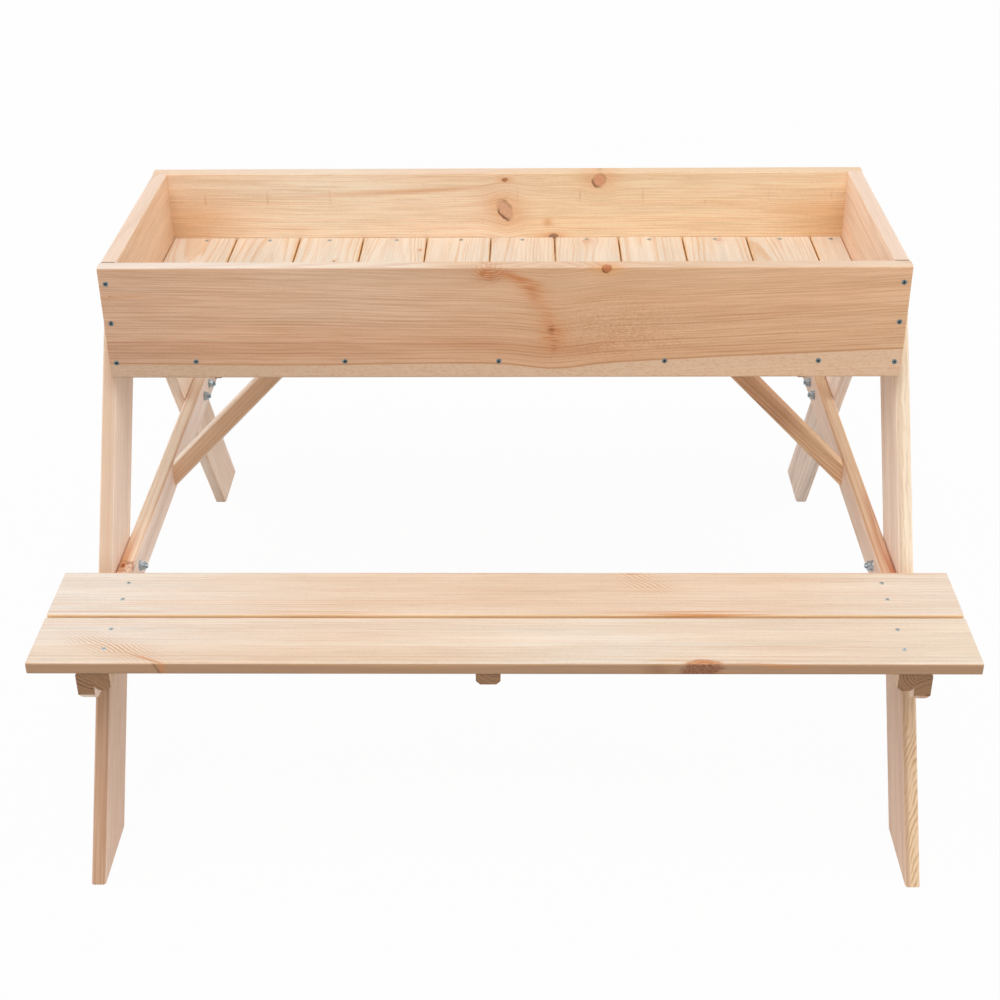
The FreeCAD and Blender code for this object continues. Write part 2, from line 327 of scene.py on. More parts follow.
def paint_knot(colour, knot, along, across, depth, raw, seed):
    """A knot with rings of its own, orange wood round it and a dark crack along its lower left side."""
    above = across - knot.across
    right, up = (along - knot.along + above * knot.lean) / knot.length, above / knot.width
    inward = (depth - knot.depth) / knot.reach
    ragged = cloud(raw, KNOT_RAGGEDNESS, seed + 17.0, 3.0) - 0.5
    far = length_of(right, up, inward) + ragged * 0.6
    halo = bell(length_of(right * 0.34, up * 0.62, inward * 0.5))
    colour = blend(halo * (0.58 * knot.strength), colour, rgb(KNOT_HALO))
    heart = rgb(knot.heart)
    rings = smooth(to_and_fro(far + ragged, 0.17), 0.02, 0.15)
    core = blend(rings, tuple(0.82 * part for part in heart), heart)
    colour = blend((1.0 - smooth(far, 0.70, 1.10)) * (0.92 * knot.strength), colour, core)
    crack = smooth(0.0 - right - up, 0.3, 1.4) + smooth(right + up, 0.7, 1.6) * 0.45 + 0.12
    rim = smooth(far, 0.62, 0.92) * (1.0 - smooth(far, 0.98, 1.20))
    return blend(rim * crack * (0.8 * knot.strength), colour, rgb(KNOT_CRACK))


# The figure of single boards, after the photograph

def mottled(grain, scale, seed, low, high, detail=2.0):
    """Patches or streaks of noise in the grain: 0 where the noise is below low, 1 where it is above high."""
    return smooth(cloud(grain.field, scale, seed, detail), low, high)


def spot(grain, along, across, length, width):
    """A soft oval patch about a point of a board."""
    return bell((grain.along - along) / length) * bell((grain.across - across) / width)


def front_board_bend(along, across):
    """Grain of the front board: it falls from the left, dips right of the middle and rises at the right."""
    fall = above_nothing(0.0 - along) * smooth(across, -45.0, 60.0) * 0.026
    return fall + above_nothing(along - 90.0) * 0.048 - bell((along - 55.0) / 38.0) * 5.5


def front_board_tone(colour, grain):
    """Slow changes of the front board's tone: pinker on the left, darker at the left end and in a band low
    down, paler left of the middle and towards the upper right, and a rim that turns orange on the right."""
    along, across, wide = grain.along, grain.across, 1.0 - grain.narrow
    colour = tinted(colour, wide * (1.0 - smooth(along, -160.0, 200.0)), 0.95, 0.97, 1.04)
    colour = tinted(colour, wide * (1.0 - smooth(along, -430.0, -290.0)), 0.94, 0.94, 0.98)
    left_of_middle = bell((along + 190.0) / 130.0) * smooth(across, -35.0, 25.0)
    colour = tinted(colour, wide * left_of_middle, 1.01, 1.06, 1.12)
    upper_right = smooth(along, 40.0, 320.0) * smooth(across, -40.0, 40.0)
    colour = tinted(colour, wide * upper_right, 1.07, 1.08, 1.09)
    low_down = 1.0 - smooth(along, -190.0, -70.0) + bell((along - 85.0) / 75.0)
    colour = tinted(colour, wide * low_down * bell((across + 32.0) / 13.0), 0.91, 0.84, 0.80)
    orange_rim = smooth(along, -120.0, -50.0) * (1.0 - smooth(along, 200.0, 480.0) * 0.5)
    colour = tinted(colour, grain.narrow * orange_rim, 0.91, 0.79, 0.68)
    return tinted(colour, grain.narrow * (1.0 - smooth(along, -400.0, -150.0)), 1.0, 1.03, 1.10)


def front_board_figure(colour, grain):
    """Paler sapwood along the foot, an orange streak that swerves down from a swirl at the top, a browner
    band on its left and a speckled patch on its right."""
    along, across, turned = grain.along, grain.across, grain.turned
    colour = front_board_tone(colour, grain)
    clear = 1.0 - smooth(along, 60.0, 330.0) * 0.15
    flecks = mottled(grain, (0.22, 0.8, 0.8), seed=33.0, low=0.45, high=0.70)
    sapwood = blend(flecks, rgb("dcc0a5"), rgb("d1ac8d"))
    paler = smooth(along, -380.0, -60.0) * 0.15 + smooth(along, -60.0, 420.0) * 0.14
    sapwood = shaded(sapwood, 0.92 + paler)
    band = bell((along + 30.0) / 80.0) * bell((turned + 27.0) / 9.0)
    colour = blend(band * 0.35, colour, rgb("bf7846"))
    speckle = mottled(grain, (0.32, 0.5, 0.5), seed=37.0, low=0.42, high=0.62)
    patch = spot(grain, along=130.0, across=-12.0, length=75.0, width=36.0)
    colour = blend(patch * speckle * 0.32, colour, rgb("b97444"))
    colour = blend(bell((turned + 49.6) / 1.3) * clear * 0.55, colour, rgb("b87a4b"))
    colour = blend((1.0 - smooth(turned, -51.2, -49.8)) * clear * 0.8, colour, sapwood)

    strokes = mottled(grain, (0.045, 0.75, 0.75), seed=31.0, low=0.40, high=0.60)
    off = along - 57.0 + square(across + 34.0) * 0.0046 + smooth(across, 48.0, 62.0) * 16.0
    off = off + (cloud(grain.field, (0.02, 0.30, 0.30), 35.0, 2.0) - 0.5) * 26.0
    reach = smooth(across, -44.0, -24.0) * (1.0 - smooth(across, 58.0, 67.0))
    strength = bell((across - 52.0) / 17.0) * 0.45 + bell((across + 12.0) / 15.0) * 0.30 + 0.25
    colour = blend(bell(off / 15.0) * reach * strength * 0.7, colour, rgb("da9052"))
    colour = blend(bell(off / 10.0) * reach * strength * strokes, colour, rgb("c66c32"))
    mark = spot(grain, along=53.5, across=-9.0, length=3.6, width=5.5)
    colour = blend(mark * (strokes * 0.5 + 0.4), colour, rgb("9c5430"))
    below = spot(grain, along=56.0, across=-26.0, length=3.0, width=9.0)
    colour = blend(below * strokes * 0.7, colour, rgb("b8703f"))
    curl = swirl(grain, along=-16.0, across=58.0, length=15.0, width=9.0, centre=68.0)
    return blend(curl * 1.15, colour, rgb("bc6a34"))


def swirl(grain, along, across, length, width, centre):
    """Fine bowed lines in an oval patch, about a centre on one side of it."""
    patch = spot(grain, along, across, length, width)
    bow = length_of((grain.along - along) / 3.0, (grain.across - centre) / 1.6)
    bow = bow + cloud(grain.field, (0.05, 0.2, 0.2), 61.0, 2.0) * 3.4
    return patch * (smooth(to_and_fro(bow, 0.9), 0.15, 0.75) * 0.65 + 0.2)


ROLLER_MARK_SPACING = 80.0


def back_board_figure(colour, grain):
    """Painted shade at both ends, low down, where the side boards shade the corners, a paler left and a
    more orange right half, faint upright marks in a row, as pressed by a planer's rollers, and orange
    flares by the knots."""
    along, across = grain.along, grain.across
    # Painted shade: the wood darkens at both ends, low down, where the side boards shade the corners.
    ends = smooth(along.math("ABSOLUTE", along), 310.0, 415.0) * (1.0 - smooth(across, 5.0, 58.0))
    colour = tinted(colour, ends, 0.84, 0.73, 0.62)
    colour = tinted(colour, bell((along + 240.0) / 120.0), 1.0, 1.08, 1.14)
    colour = tinted(colour, smooth(along, -40.0, 70.0), 1.0, 0.985, 0.91)
    step = (along + 306.0) / ROLLER_MARK_SPACING
    beat = (step - step.math("ROUND", step)) * ROLLER_MARK_SPACING
    mark = bell(beat / 1.2) * smooth(across, 22.0, 30.0) * (1.0 - smooth(across, 40.0, 48.0))
    mark = mark * mottled(grain, (0.012, 0.03, 0.03), seed=41.0, low=0.40, high=0.62)
    colour = blend(mark * 0.35, colour, rgb("c98a50"))
    flare = bell((along + 120.0) / 130.0) * bell((grain.turned - 50.0 - along * 0.05) / 3.0)
    colour = blend(flare * 0.5, colour, rgb("de9a58"))
    branch = spot(grain, along=53.0, across=1.0, length=6.0, width=6.0)
    return blend(branch * 0.55, colour, rgb("dd9a4e"))


def ripples(grain, along, across, length, width, slant, spacing):
    """A patch of fine slanting lines, as where the grain curls."""
    lean = grain.across - across + (grain.along - along) * slant * 0.45
    patch = bell((grain.along - along) / length) * bell(lean / width)
    count = grain.along * slant + grain.across + cloud(grain.field, (0.02, 0.06, 0.06), 53.0, 2.0) * 9.0
    return patch * smooth(to_and_fro(count, spacing / 2), spacing * 0.20, spacing * 0.42)


def outer_seat_figure(colour, grain):
    """Paler wood at the ends and right of the middle, curly grain near the left end that closes in a
    slanting orange vein, and on the front edge a red-brown knot from which orange streaks run out."""
    along, across, depth, wide = grain.along, grain.across, grain.depth, 1.0 - grain.narrow
    left_end = (1.0 - smooth(along, -430.0, -180.0)) * (smooth(across, -25.0, 15.0) * 0.7 + 0.3)
    colour = tinted(colour, wide * left_end, 1.02, 1.09, 1.19)
    colour = tinted(colour, wide * smooth(along, 380.0, 490.0), 1.01, 1.05, 1.07)
    colour = tinted(colour, wide * bell((along - 95.0) / 110.0), 1.0, 1.07, 1.13)
    left_front = bell((along + 120.0) / 130.0) * (1.0 - smooth(across, -30.0, 5.0))
    colour = tinted(colour, wide * left_front, 0.95, 0.91, 0.86)
    curly = ripples(grain, along=-412.0, across=-14.0, length=46.0, width=15.0, slant=0.75, spacing=4.6)
    colour = blend(curly * 0.8, colour, rgb("cf9460"))
    vein = bell((across + 36.5 + (along + 369.7) * 0.475) / 1.8) * bell((along + 370.0) / 20.0)
    colour = blend(vein * 0.75, colour, rgb("cf8444"))
    crack = grain.narrow * bell((along + 362.0 + depth * 0.5) / 1.6)
    colour = blend(crack * 0.7, colour, rgb("84583c"))
    run = mottled(grain, (0.008, 0.5, 0.5), seed=43.0, low=0.46, high=0.60)
    near_edge = smooth(0.0 - across, 31.0, 42.0)
    colour = blend(bell((along - 262.0) / 52.0) * near_edge * run * 0.75, colour, rgb("d08a4c"))
    curl = bell((along - 178.0) / 26.0) * bell((across + 33.0 - (along - 178.0) * 0.12) / 7.0)
    colour = blend(curl * run * 0.7, colour, rgb("dca468"))
    rough = cloud(grain.field, (0.06, 0.3, 0.3), 59.0, 3.0)
    speckle = mottled(grain, (0.5, 0.8, 0.8), seed=65.0, low=0.35, high=0.65)
    far = length_of((along - 208.0 - depth * 0.4) / 22.0, (across + 43.0) / 9.5) + (rough - 0.5) * 0.9
    heart = blend(smooth(to_and_fro(far, 0.2), 0.04, 0.18), rgb("c4845a"), rgb("d49d74"))
    heart = blend(grain.narrow * 0.9, heart, blend(speckle, rgb("74472f"), rgb("a07258")))
    colour = blend(1.0 - smooth(far, 0.62, 1.16), colour, heart)
    dark_ends = bell((along - 163.0) / 16.0) * grain.narrow
    return blend(dark_ends * rough * 0.8, colour, rgb("8d6142"))


def inner_seat_figure(colour, grain):
    """Paler ends, curly grain at the back edge and orange streaks along the front edge."""
    along, across, wide = grain.along, grain.across, 1.0 - grain.narrow
    colour = tinted(colour, wide * (1.0 - smooth(along, -490.0, -130.0)), 1.02, 1.15, 1.31)
    colour = tinted(colour, wide * smooth(along, 280.0, 490.0), 1.02, 1.10, 1.19)
    colour = tinted(colour, wide * bell((along - 50.0) / 90.0), 0.96, 0.94, 0.92)
    curly = ripples(grain, along=158.0, across=20.0, length=32.0, width=24.0, slant=0.9, spacing=6.4)
    colour = blend(curly * 0.55, colour, rgb("d29a67"))
    run = mottled(grain, (0.006, 0.5, 0.5), seed=43.0, low=0.44, high=0.58)
    part = bell((along - 215.0) / 95.0) + bell((along + 210.0) / 60.0) * 0.6
    colour = blend(part * smooth(0.0 - across, 29.0, 39.0) * run * 0.8, colour, rgb("d58a48"))
    vein = bell((across + 37.0) / 1.3) * (1.0 - smooth(along, -420.0, -330.0))
    return blend(vein * 0.5, colour, rgb("d89b68"))


def orange_line(colour, grain, depth):
    """Thin orange streaks on the narrow faces, and a line of it along one edge."""
    streaks = mottled(grain, (0.004, 0.25, 0.55), seed=77.0, low=0.50, high=0.66)
    colour = blend(grain.narrow * streaks * 0.30, colour, rgb("dc9c66"))
    return blend(grain.narrow * bell((grain.depth - depth) / 1.2) * 0.5, colour, rgb("c98a54"))


def left_crossbar_figure(colour, grain):
    """A line on the inner edge of the top, and an orange zone on its outer half by the front leg, with a
    red-brown knot in it."""
    colour = orange_line(colour, grain, 7.5)
    on_top = smooth(grain.across, 12.0, 20.0)
    zone = bell((grain.along + 240.0) / 52.0) * on_top * (1.0 - smooth(grain.depth, -3.0, 6.0))
    colour = blend(zone * 0.7, colour, rgb("d0843f"))
    knot = swirl(grain, along=-254.0, across=20.0, length=12.0, width=7.0, centre=12.0)
    return blend(knot * 1.2, colour, rgb("a4552e"))


def right_crossbar_figure(colour, grain):
    """A line on the inner edge of the top, which darkens towards the front leg, and reddish heartwood
    streaks on the outer side there."""
    colour = orange_line(colour, grain, -7.5)
    colour = tinted(colour, grain.narrow * (1.0 - smooth(grain.along, -250.0, -60.0)), 0.76, 0.68, 0.68)
    streaks = mottled(grain, (0.006, 0.25, 0.25), seed=47.0, low=0.36, high=0.56)
    part = (1.0 - smooth(grain.along, -240.0, 60.0)) * smooth(grain.depth, -3.0, 5.0)
    colour = blend(streaks * part * 0.8, colour, rgb("c46e3a"))
    by_leg = bell((grain.along + 262.0) / 34.0) * smooth(grain.depth, -1.0, 6.0)
    return blend(by_leg * 0.6, colour, rgb("b55a2c"))


def right_brace_figure(colour, grain):
    """A paler lower end."""
    return tinted(colour, 1.0 - smooth(grain.along, -80.0, -20.0), 1.20, 1.33, 1.38)


def foot_in_painted_shade(colour, grain, narrow_painted_shade):
    """Painted shade of the bench on a leg, darkening towards its foot, the narrow faces to a redder painted
    shade.
    """
    low = 1.0 - smooth(grain.along, -90.0, 10.0)
    colour = tinted(colour, low, 0.83, 0.76, 0.72)
    return blend(grain.narrow * low * 0.8, colour, rgb(narrow_painted_shade))


def left_front_leg_figure(colour, grain):
    """Painted shade of the bench on the lower leg, and narrow faces with fine upright streaks, an orange one
    higher up and a dark line by the inner edge towards the foot.
    """
    low = 1.0 - smooth(grain.along, -90.0, 10.0)
    # Painted shade of the bench over the lower leg.
    colour = foot_in_painted_shade(colour, grain, "b68969")
    streaks = mottled(grain, (0.008, 0.5, 0.75), seed=73.0, low=0.36, high=0.64, detail=3.0)
    colour = blend(grain.narrow * streaks * (0.25 + low * 0.15), colour, rgb("dcbca2"))
    orange = bell((grain.depth - 2.5) / 2.2) * (1.0 - low)
    colour = blend(grain.narrow * orange * 0.28, colour, rgb("d8a47c"))
    return blend(grain.narrow * bell((grain.depth - 5.8) / 0.8) * low * 0.30, colour, rgb("8d6a52"))


def right_front_leg_figure(colour, grain):
    """Yellow sapwood on the narrow faces, painted shade in brown along the rounded inner edge, stripes
    that stand upright above and slant across the face towards the foot, and painted shade of the bench on
    the lower leg."""
    low = 1.0 - smooth(grain.along, -250.0, -130.0)
    sway = (cloud(grain.field, (0.024, 0.09, 0.09), 67.0, 2.0) - 0.5) * 13.0
    slant = grain.depth - (grain.along + 190.0) * low * 0.40 + sway
    stripe = smooth(to_and_fro(slant, 2.6), 0.9, 2.4)
    stripe = stripe * mottled(grain, (0.03, 0.12, 0.12), seed=69.0, low=0.30, high=0.62)
    colour = blend(grain.narrow * 0.6, colour, rgb("f2e0c2"))
    # Painted shade of the bench over the lower leg.
    colour = foot_in_painted_shade(colour, grain, "e8c9a6")
    colour = blend(grain.narrow * stripe * (low * 0.45 + 0.25), colour, rgb("b98952"))
    # Painted shade where the rounded inner edge turns away from the light.
    painted_edge_shade = grain.narrow * (1.0 - smooth(grain.depth, -5.5, -1.5))
    return blend(painted_edge_shade * (low * 0.35 + 0.30), colour, rgb("b58d72"))


def right_back_leg_figure(colour, grain):
    """Greyish weathered streaks towards the foot."""
    streaks = mottled(grain, (0.008, 0.14, 0.14), seed=71.0, low=0.46, high=0.62)
    low = 1.0 - smooth(grain.along, -140.0, 60.0)
    return blend(streaks * low * 0.4, colour, rgb("c4ab96"))


# Which wood each board is cut from

LEG_PINK, LEG_LINE = "f8e5d6", "dfb18e"
# The seat boards' narrow faces are painted darker: painted shade for the front face, which the light from
# above misses.
SEAT_CREAM, SEAT_LINE, SEAT_EDGE_PAINTED_SHADE = "ecdac7", "dea672", "ae8767"

WOODS = {
    "tray_front_board": dict(
        early="e5bc97", late="c0703a", edge="f3e0cc", pith=(-210.0, 55.0), ring=3.4, contrast=0.46,
        wander=8.0, bend=front_board_bend, figure=front_board_figure,
        knots=[Knot(114, 65.5, 5.5, 5, 1.0, "c87a4c", -8.5, 7), Knot(-22, 61, 3, 3, 0.5, "c87a4c", -9, 9),
               Knot(-430, 34, 10, 1.4, 0.5)]),
    "tray_back_board": dict(
        early="feead1", late="e8a258", edge="edd0b6", pith=(-190.0, -60.0), ring=3.2, contrast=0.42,
        wander=8.0, figure=back_board_figure,
        knots=[Knot(-2, 17.5, 9, 14, 1.0, lean=0.36), Knot(117.7, 57, 8.5, 9.5, 0.85, "e8a684"),
               Knot(-1.7, 58, 3.4, 2.4, 1.0, "c48456"), Knot(60.6, -18, 6, 3.5, 1.0, "ae866e")]),
    "tray_left_board": dict(
        early="e4c6aa", late="cf9460", edge="f2d8c4", pith=(-90.0, -35.0), ring=3.4, contrast=0.55,
        slope=(0.03, 0.02)),
    "tray_right_board": dict(
        early="eed4bf", late="d9a274", edge="f2d8c4", pith=(70.0, 30.0), ring=3.2, contrast=0.55,
        slope=(-0.03, 0.02)),
    "front_bench_outer_board": dict(
        early=SEAT_CREAM, late=SEAT_LINE, edge=SEAT_EDGE_PAINTED_SHADE, pith=(-150.0, -30.0), ring=4.2, contrast=0.45,
        fibres=0.6, figure=outer_seat_figure),
    "front_bench_inner_board": dict(
        # The pale narrow faces are painted light, for the light that bounces into the gap between the seat
        # boards.
        early="ebd6c1", late=SEAT_LINE, edge="ffdaa9", pith=(160.0, -28.0), ring=4.6, contrast=0.5,
        fibres=0.6, figure=inner_seat_figure, knots=[Knot(146, 40, 7, 3, 0.4)]),
    "left_crossbar": dict(
        # The pale narrow faces are painted light, making up for the tray's shade over the top.
        early="fce9dd", late="dcaa84", edge="ffead2", pith=(60.0, 30.0), ring=4.4,
        figure=left_crossbar_figure),
    "right_crossbar": dict(
        # The pale narrow faces are painted light, making up for the tray's shade over the top.
        early="f3dbca", late="d8a07a", edge="fddbb7", pith=(-55.0, 26.0), ring=4.4,
        figure=right_crossbar_figure),
    # The pale narrow faces of the left brace hold a painted highlight.
    "left_brace": dict(early="edc8a8", late="cf9668", edge="fff0e0", pith=(-40.0, 20.0), ring=4.0),
    "right_brace": dict(
        early="e6ba95", late="a8603a", pith=(-24.0, 14.0), ring=3.8, contrast=0.8, slope=(0.05, 0.0),
        figure=right_brace_figure),
    "left_front_leg": dict(
        early=LEG_PINK, late=LEG_LINE, edge="ddc2aa", pith=(120.0, 30.0), ring=3.6,
        figure=left_front_leg_figure),
    "right_front_leg": dict(
        early=LEG_PINK, late=LEG_LINE, pith=(95.0, -40.0), ring=3.6, figure=right_front_leg_figure),
    "left_back_leg": dict(early="fde8d6", late=LEG_LINE, pith=(-130.0, 30.0), ring=4.2),
    "right_back_leg": dict(
        early="ffefe4", late=LEG_LINE, pith=(-110.0, -34.0), ring=3.8, figure=right_back_leg_figure),
}

FLOOR_KNOTS = {
    "floor_board_03": [Knot(68.6, 10.7, 2.2, 1.8, 1.0, "b79b86")],
    "floor_board_04": [Knot(105.7, 34.2, 2.2, 1.8, 1.0, "b79b86")],
    "floor_board_07": [Knot(135.0, 2.0, 6.0, 7.0, 0.3)],
    "floor_board_09": [Knot(139.0, 5.0, 4.0, 4.0, 0.5)],
}


def plain_wood(node, chance):
    """The wood of a board that has no entry of its own, different for each."""
    if node.startswith("floor_board"):
        # The narrow faces are painted light orange, for the warm light that bounces into the gaps between
        # the boards.
        return dict(early="ecdecd", late="dca668", edge="f4cd9c", ring=4.0, contrast=0.55, fibres=0.6,
                    pith=(chance.uniform(-52, 52), chance.uniform(-60, -24)),
                    slope=(chance.uniform(-0.03, 0.03), chance.uniform(-0.05, 0.05)),
                    knots=FLOOR_KNOTS.get(node, ()))
    if node.endswith("_batten"):
        return dict(early="ecd0ae", late="cf9c6b", pith=(chance.uniform(-60, 60), 30.0), ring=4.0)
    if node.endswith("_board"):
        return dict(early=SEAT_CREAM, late=SEAT_LINE, edge=SEAT_EDGE_PAINTED_SHADE, ring=4.2,
                    pith=(chance.choice((-1, 1)) * 140.0, -30.0))
    return dict(early="ead0b4", late="cc9b70", pith=(chance.uniform(-30, 30), 22.0), ring=3.6, contrast=0.7)


def dress_boards():
    """Gives every wooden node a material of its own."""
    for number, node in enumerate(sorted(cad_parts)):
        if node not in STEEL_NODES:
            wood = WOODS.get(node) or plain_wood(node, random.Random(number))
            set_material(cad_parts[node], softwood(node, seed=7.3 * number, **wood))


def set_material(piece, material):
    """The one material of a piece or node."""
    if not piece.material_slots:
        piece.data.materials.append(material)
    for place in piece.material_slots:
        place.material = material


# Zinc and the floor

# How many times the zinc and the floor change in a metre along each axis.
ZINC_PATCHES = (420.0, 420.0, 420.0)
ZINC_SCUFFS = (2600.0, 2600.0, 500.0)
FLOOR_MOTTLE = (3.0, 3.0, 3.0)

# The darker and the lighter tone of each zinc. The screws are all one zinc: its copy on the tray and frame
# is painted darker for dim reflections, its copy on the floor and seats paler as a painted reflection of
# the light above, and the recesses darker still as painted shade.
ZINC_PAINTED_DIM, DARK_RECESS_PAINTED_SHADE = ("5c686b", "a1aaaa"), ("232b2d", "424c4d")
ZINC_PAINTED_PALE, PALE_RECESS_PAINTED_SHADE = ("b3bbbd", "dce1e2"), ("9aa3a5", "b6bdbf")
BOLT_ZINC = ("8d999f", "c4ccd0")
ZINC_BUMP = 0.05 * MM

FLOOR_GREY, FLOOR_PALE_GREY = "d2d1cf", "d8d7d5"
FLOOR_WHITENESS = 0.965


def zinc(name, dark, light):
    """Blue-grey zinc plate with cloudy patches and fine scuffs."""
    material, place = new_material(name)
    patches = cloud(place, ZINC_PATCHES, 2.0, 3.0)
    scuffs = cloud(place, ZINC_SCUFFS, 5.0, 2.0)
    colour = blend(smooth(patches, 0.35, 0.68), rgb(dark), rgb(light))
    colour = shaded(colour, 0.80 + scuffs * 0.40)
    finish_material(colour, 0.30 + patches * 0.25, scuffs, ZINC_BUMP, metallic=0.85, specular=0.5)
    return material


def floor_paint():
    """Pale floor, white to the camera and in reflections apart from a faint shadow."""
    material, place = new_material("pale_floor")
    grey = blend(cloud(place, FLOOR_MOTTLE, 1.0, 3.0), rgb(FLOOR_GREY), rgb(FLOOR_PALE_GREY))
    bare = place.node("ShaderNodeBsdfDiffuse", {}, {"Color": grey})
    lit = place.node("ShaderNodeEmission", {}, {"Color": WHITE, "Strength": 1.0})
    white = seen_rays(place) * FLOOR_WHITENESS
    surface = place.node("ShaderNodeMixShader", {}, {0: white, 1: bare, 2: lit})
    surface.node("ShaderNodeOutputMaterial", {}, {"Surface": surface})
    return material


# Modelling by hand

MERGE_DISTANCE = 0.01 * MM
SMOOTH_ANGLE = math.radians(35)


def begin():
    """Nothing selected, so that an operator acts on the new primitive alone."""
    if bpy.context.object and bpy.context.object.mode != "OBJECT":
        bpy.ops.object.mode_set(mode="OBJECT")
    bpy.ops.object.select_all(action="DESELECT")


def make_active(piece):
    """The one selected piece, on which operators act."""
    begin()
    piece.select_set(True)
    bpy.context.view_layer.objects.active = piece


def pick_faces(piece, test):
    """In edit mode, selects the faces that pass a test on their normal and centre."""
    make_active(piece)
    bpy.ops.object.mode_set(mode="EDIT")
    bpy.ops.mesh.select_mode(type="FACE")
    bpy.ops.mesh.select_all(action="DESELECT")
    bpy.ops.object.mode_set(mode="OBJECT")
    for face in piece.data.polygons:
        face.select = test(face.normal, face.center)
    bpy.ops.object.mode_set(mode="EDIT")


def cut_with(piece, tool, operation):
    """A boolean of a piece with a tool that is then removed."""
    make_active(piece)
    modifier = piece.modifiers.new("cut", "BOOLEAN")
    modifier.operation = operation
    modifier.solver = "EXACT"
    modifier.object = tool
    bpy.ops.object.modifier_apply(modifier=modifier.name)
    bpy.data.objects.remove(tool)


def close_up(piece):
    """Merges doubles, turns the faces outwards and shades by angle."""
    make_active(piece)
    bpy.ops.object.mode_set(mode="EDIT")
    bpy.ops.mesh.select_all(action="SELECT")
    bpy.ops.mesh.remove_doubles(threshold=MERGE_DISTANCE)
    bpy.ops.mesh.normals_make_consistent(inside=False)
    bpy.ops.object.mode_set(mode="OBJECT")
    bpy.ops.object.shade_smooth_by_angle(angle=SMOOTH_ANGLE)


def settle():
    """Puts a new primitive's place in its mesh."""
    bpy.ops.object.transform_apply(location=True, rotation=True, scale=True)
    return bpy.context.object


def cylinder(sides, radius, depth, place):
    """A cylinder along Z, in millimetres."""
    begin()
    bpy.ops.mesh.primitive_cylinder_add(vertices=sides, radius=radius * MM, depth=depth * MM,
                                        location=Vector(place) * MM)
    return settle()


def bar(size, place):
    """A box along the axes, in millimetres."""
    begin()
    bpy.ops.mesh.primitive_cube_add(size=1.0, location=Vector(place) * MM, scale=Vector(size) * MM)
    return settle()


def set_out(pattern, name, places):
    """Copies a pattern to each place, a point in millimetres, a direction and a turn, as one piece."""
    copies = []
    for point, direction, turn in places:
        copy = pattern.copy()
        copy.data = pattern.data.copy()
        aim = Z.rotation_difference(Vector(direction)).to_matrix().to_4x4()
        copy.data.transform(Matrix.Translation(Vector(point) * MM) @ aim @ Matrix.Rotation(turn, 4, "Z"))
        bpy.context.scene.collection.objects.link(copy)
        copies.append(copy)
    piece = copies[0]
    make_active(piece)
    if len(copies) > 1:
        for copy in copies:
            copy.select_set(True)
        bpy.ops.object.join()
    piece.name = piece.data.name = name
    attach(piece, "root")
    return piece


# Screws, bolts and nuts, in millimetres

# A screw head: its rim, how far its flat rises, and its cross recess, some of it as shares of the radius.
TRAY_HEAD_RADIUS = 3.1
SEAT_HEAD_RADIUS = 2.7
HEAD_HEIGHT, HEAD_MIDDLE = 1.2, -0.35
HEAD_RIM, HEAD_CROWN = 0.45, 0.16
CROSS_LENGTH_SHARE, CROSS_WIDTH = 1.35, 0.95
HUB_SHARE = 0.45
CUT_HEIGHT, CUT_MIDDLE = 1.0, 0.56
RECESS_SHARE, RECESS_TOP = 0.72, 0.38

# Where the screws sit on the boards.
TRAY_END_INSET = 8.0
TRAY_END_DROPS = (19.0, 66.5, 115.5)
TRAY_FOOT_RISE = 21.0
TRAY_FOOT_SCREWS = (-351.0, -181.0, -6.0, 182.0, 356.0)
FLOOR_SCREWS = (-387.5, -305.9, -228.6, -141.4, -58.8, 20.4, 103.3, 183.7, 267.9, 351.3, 417.0)
SEAT_SCREWS = {"inner": (-20.0, 13.0), "outer": (-20.0, 16.5)}
LEG_SCREWS = ((92.0, 500.0), (56.0, 500.0), (38.0, 556.0))
CLEAT_SCREW_SPREAD = 53.0
BRACE_SCREW = (410.8, 0.0, 271.6)

# The nuts, the bolts and their thread. The dome of a bolt's head is the top of a ball.
NUT_ACROSS, NUT_HEIGHT = 10.0, 5.0
NUT_TURNED_RADIUS, NUT_CORNER = 5.85, 0.55
NUT_BORE_RADIUS, NUT_BORE_CUT = 3.05, 7.0
BOLT_SPACING = 40.0
BOLT_HEAD_RADIUS = 8.0
DOME_RADIUS, DOME_DROP, DOME_RIM = 11.6, 7.8, 0.6
SHANK_INSET, SHANK_LENGTH = 5.05, 43.4
TIP_INSET, TIP_LENGTH = 0.5, 0.6
RIDGE_RADIUS, THREAD_RADIUS = 0.42, 2.85
THREAD_PITCH, THREAD_TURNS, THREAD_STEPS = 0.9, 12, 20


def edges(node):
    """The low and high corners of a node in millimetres."""
    low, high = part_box(node)
    return low / MM, high / MM


def middle_of(node):
    """The middle of a node's box in millimetres."""
    low, high = edges(node)
    return (low + high) / 2


def outer(node, axis, way):
    """The plane of a node's box that faces one way along an axis."""
    low, high = edges(node)
    return high[axis] if way > 0 else low[axis]


